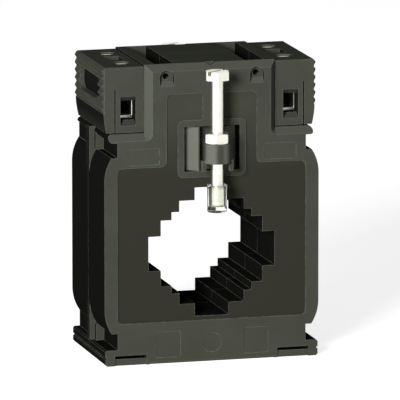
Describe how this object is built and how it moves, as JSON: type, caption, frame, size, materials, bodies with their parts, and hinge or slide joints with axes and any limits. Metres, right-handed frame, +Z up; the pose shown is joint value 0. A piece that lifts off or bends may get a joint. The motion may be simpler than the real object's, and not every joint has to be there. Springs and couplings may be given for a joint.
{
  "type": "window-type current transformer",
  "caption": "Moulded black current transformer with a stepped busbar window, secondary terminals on top and a long bar-clamping screw on each side.",
  "frame": {"origin": "middle of the underside of the foot strip", "axes": "+Z up, +X to the right seen from the front, +Y from the front face to the back"},
  "size_m": [0.0696, 0.0612, 0.095],
  "materials": {
    "case_plastic": "fine spark-eroded matt",
    "cover_plastic": "fine spark-eroded matt",
    "carrier_plastic": "smooth moulded",
    "insulation": "smooth moulded",
    "core_steel": "wound strip edges",
    "winding_wire": "enamelled copper wire",
    "lead_sleeve": "sleeved wire",
    "contact_brass": "tinned",
    "cage_nickel": "nickel plated",
    "screw_steel": "zinc plated",
    "cap_clear": "clear moulded"
  },
  "bodies": {
    "case": {"front_shell": "case_plastic", "rear_shell": "case_plastic", "core": "core_steel", "core_front_cap": "insulation", "core_rear_cap": "insulation", "winding": "winding_wire", "left_lead": "lead_sleeve", "right_lead": "lead_sleeve", "left_carrier": "carrier_plastic", "right_carrier": "carrier_plastic", "left_contact_bar": "contact_brass", "right_contact_bar": "contact_brass", "front_holder": "case_plastic", "rear_holder": "case_plastic", "front_nut": "screw_steel", "rear_nut": "screw_steel"},
    "left_cover": {"left_cover": "cover_plastic"},
    "right_cover": {"right_cover": "cover_plastic"},
    "left_front_cage": {"left_front_cage": "cage_nickel"},
    "left_rear_cage": {"left_rear_cage": "cage_nickel"},
    "right_front_cage": {"right_front_cage": "cage_nickel"},
    "right_rear_cage": {"right_rear_cage": "cage_nickel"},
    "left_front_wire_screw": {"left_front_wire_screw": "screw_steel"},
    "left_rear_wire_screw": {"left_rear_wire_screw": "screw_steel"},
    "right_front_wire_screw": {"right_front_wire_screw": "screw_steel"},
    "right_rear_wire_screw": {"right_rear_wire_screw": "screw_steel"},
    "front_clamp_screw": {"front_clamp_screw": "screw_steel"},
    "rear_clamp_screw": {"rear_clamp_screw": "screw_steel"},
    "front_tip_cap": {"front_tip_cap": "cap_clear"},
    "rear_tip_cap": {"rear_tip_cap": "cap_clear"}
  },
  "joints": [
    {"name": "left_cover_lift", "type": "slide", "parent": "case", "child": "left_cover", "axis": [0, 0, 1], "range_m": [0, 0.02]},
    {"name": "right_cover_lift", "type": "slide", "parent": "case", "child": "right_cover", "axis": [0, 0, 1], "range_m": [0, 0.02]},
    {"name": "left_front_wire_screw_turn", "type": "hinge", "parent": "case", "child": "left_front_wire_screw", "pos_m": [-0.0264, -0.0091, 0.0932], "axis": [0, 0, 1], "range_deg": [-2401, 0]},
    {"name": "left_front_cage_lift", "type": "slide", "parent": "case", "child": "left_front_cage", "axis": [0, 0, 1], "range_m": [0, 0.004]},
    {"name": "left_rear_wire_screw_turn", "type": "hinge", "parent": "case", "child": "left_rear_wire_screw", "pos_m": [-0.0264, 0.0091, 0.0932], "axis": [0, 0, 1], "range_deg": [-2401, 0]},
    {"name": "left_rear_cage_lift", "type": "slide", "parent": "case", "child": "left_rear_cage", "axis": [0, 0, 1], "range_m": [0, 0.004]},
    {"name": "right_front_wire_screw_turn", "type": "hinge", "parent": "case", "child": "right_front_wire_screw", "pos_m": [0.0264, -0.0091, 0.0932], "axis": [0, 0, 1], "range_deg": [-2401, 0]},
    {"name": "right_front_cage_lift", "type": "slide", "parent": "case", "child": "right_front_cage", "axis": [0, 0, 1], "range_m": [0, 0.004]},
    {"name": "right_rear_wire_screw_turn", "type": "hinge", "parent": "case", "child": "right_rear_wire_screw", "pos_m": [0.0264, 0.0091, 0.0932], "axis": [0, 0, 1], "range_deg": [-2401, 0]},
    {"name": "right_rear_cage_lift", "type": "slide", "parent": "case", "child": "right_rear_cage", "axis": [0, 0, 1], "range_m": [0, 0.004]},
    {"name": "front_clamp_feed", "type": "slide", "parent": "case", "child": "front_tip_cap", "axis": [0, 0, 1], "range_m": [-0.0161, 0.007]},
    {"name": "front_clamp_screw_turn", "type": "hinge", "parent": "front_tip_cap", "child": "front_clamp_screw", "pos_m": [0, -0.0265, 0.0908], "axis": [0, 0, 1], "range_deg": [-8281, 3601]},
    {"name": "rear_clamp_feed", "type": "slide", "parent": "case", "child": "rear_tip_cap", "axis": [0, 0, 1], "range_m": [-0.0161, 0.007]},
    {"name": "rear_clamp_screw_turn", "type": "hinge", "parent": "rear_tip_cap", "child": "rear_clamp_screw", "pos_m": [0, 0.0265, 0.0908], "axis": [0, 0, 1], "range_deg": [-8281, 3601]}
  ],
  "couplings": [
    {"joint": "left_front_wire_screw_turn", "follows": "left_front_cage_lift", "rad_per_m": -10472},
    {"joint": "left_rear_wire_screw_turn", "follows": "left_rear_cage_lift", "rad_per_m": -10472},
    {"joint": "right_front_wire_screw_turn", "follows": "right_front_cage_lift", "rad_per_m": -10472},
    {"joint": "right_rear_wire_screw_turn", "follows": "right_rear_cage_lift", "rad_per_m": -10472},
    {"joint": "front_clamp_screw_turn", "follows": "front_clamp_feed", "rad_per_m": 8976},
    {"joint": "rear_clamp_screw_turn", "follows": "rear_clamp_feed", "rad_per_m": 8976}
  ]
}
